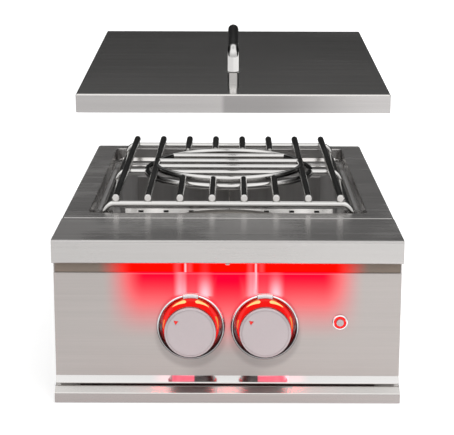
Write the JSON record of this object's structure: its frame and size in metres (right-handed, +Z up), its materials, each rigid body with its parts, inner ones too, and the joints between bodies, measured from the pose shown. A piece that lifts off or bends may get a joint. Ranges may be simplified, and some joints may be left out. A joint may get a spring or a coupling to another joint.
{
  "type": "built-in side burner",
  "caption": "Drop-in stainless gas side burner with bar grate, lift-out ring, lit knobs, light button, drip tray and a lift-off lid held above the deck.",
  "frame": {"origin": "floor level, under the middle of the whole object's box, lid lifted as pictured", "axes": "+Z up, +Y from the knobs to the back, +X to the right of someone facing the knobs"},
  "size_m": [0.432, 0.6736, 0.4236],
  "materials": {
    "brushed_steel": "satin, brushed left to right",
    "plain_steel": "mill finish, inner sheet and burner parts",
    "polished_steel": "polished",
    "rod_steel": "bright drawn rod",
    "chrome": "bright",
    "satin_silver": "satin",
    "red_lens": "translucent, lit red",
    "red_mark": "matt",
    "brass": "machined",
    "ceramic": "matt"
  },
  "bodies": {
    "housing": {"front_shelf": "brushed_steel", "deck_frame": "brushed_steel", "housing_shell": "plain_steel", "housing_floor": "plain_steel", "burner_tub": "plain_steel", "rear_deflector": "plain_steel", "control_panel": "brushed_steel", "light_bar": "plain_steel", "light_lens": "red_lens", "light_bar_screw": "polished_steel", "left_bezel": "chrome", "left_bezel_tab": "satin_silver", "left_dial": "red_lens", "left_valve": "brass", "right_bezel": "chrome", "right_bezel_tab": "satin_silver", "right_dial": "red_lens", "right_valve": "brass", "gas_manifold": "plain_steel", "gas_inlet": "brass", "switch_body": "chrome", "switch_light_ring": "red_lens", "switch_nut": "brass", "heat_shield": "plain_steel", "outer_burner": "plain_steel", "inner_burner": "plain_steel", "outer_venturi": "plain_steel", "inner_venturi": "plain_steel", "burner_bracket_front": "plain_steel", "burner_bracket_rear": "plain_steel", "igniter_sleeve": "ceramic", "igniter_electrode": "polished_steel", "igniter_bracket": "plain_steel", "grate_rest_left_front": "brushed_steel", "grate_rest_left_rear": "brushed_steel", "grate_rest_right_front": "brushed_steel", "grate_rest_right_rear": "brushed_steel"},
    "left_valve_core": {"left_plug": "brass"},
    "left_knob_and_stem": {"left_knob": "satin_silver", "left_knob_mark": "red_mark", "left_stem": "plain_steel"},
    "right_valve_core": {"right_plug": "brass"},
    "right_knob_and_stem": {"right_knob": "satin_silver", "right_knob_mark": "red_mark", "right_stem": "plain_steel"},
    "light_button": {"switch_cap": "satin_silver"},
    "drip_tray": {"drip_tray": "brushed_steel"},
    "grate": {"grate": "rod_steel"},
    "ring_insert": {"ring_insert": "rod_steel"},
    "lid": {"lid_panel": "brushed_steel", "lid_handle": "polished_steel", "lid_screw_front": "plain_steel", "lid_screw_rear": "plain_steel"}
  },
  "joints": [
    {"name": "left_valve_turn", "type": "hinge", "parent": "housing", "child": "left_valve_core", "pos_m": [-0.0455, -0.28577, 0.09624], "axis": [0, -1, 0], "range_deg": [-52, 158]},
    {"name": "left_knob_push", "type": "slide", "parent": "left_valve_core", "child": "left_knob_and_stem", "axis": [0, 1, 0], "range_m": [0, 0.003], "stiffness_N_per_m": 1500, "springref_m": -0.002},
    {"name": "right_valve_turn", "type": "hinge", "parent": "housing", "child": "right_valve_core", "pos_m": [0.0465, -0.28577, 0.09624], "axis": [0, -1, 0], "range_deg": [-52, 158]},
    {"name": "right_knob_push", "type": "slide", "parent": "right_valve_core", "child": "right_knob_and_stem", "axis": [0, 1, 0], "range_m": [0, 0.003], "stiffness_N_per_m": 1500, "springref_m": -0.002},
    {"name": "light_button_press", "type": "slide", "parent": "housing", "child": "light_button", "axis": [0, 1, 0], "range_m": [0, 0.002], "stiffness_N_per_m": 900, "springref_m": -0.0015},
    {"name": "drip_tray_pull", "type": "slide", "parent": "housing", "child": "drip_tray", "axis": [0, -1, 0], "range_m": [0, 0.45]},
    {"name": "grate_lift", "type": "slide", "parent": "housing", "child": "grate", "axis": [0, 0, 1], "range_m": [0, 0.08]},
    {"name": "ring_insert_lift", "type": "slide", "parent": "grate", "child": "ring_insert", "axis": [0, 0, 1], "range_m": [0, 0.025]},
    {"name": "lid_lift", "type": "hinge", "parent": "housing", "child": "lid", "pos_m": [0, -2.11954, 0.6106], "axis": [0.9991, 0, -0.0426], "range_deg": [-3.85, 0]}
  ]
}
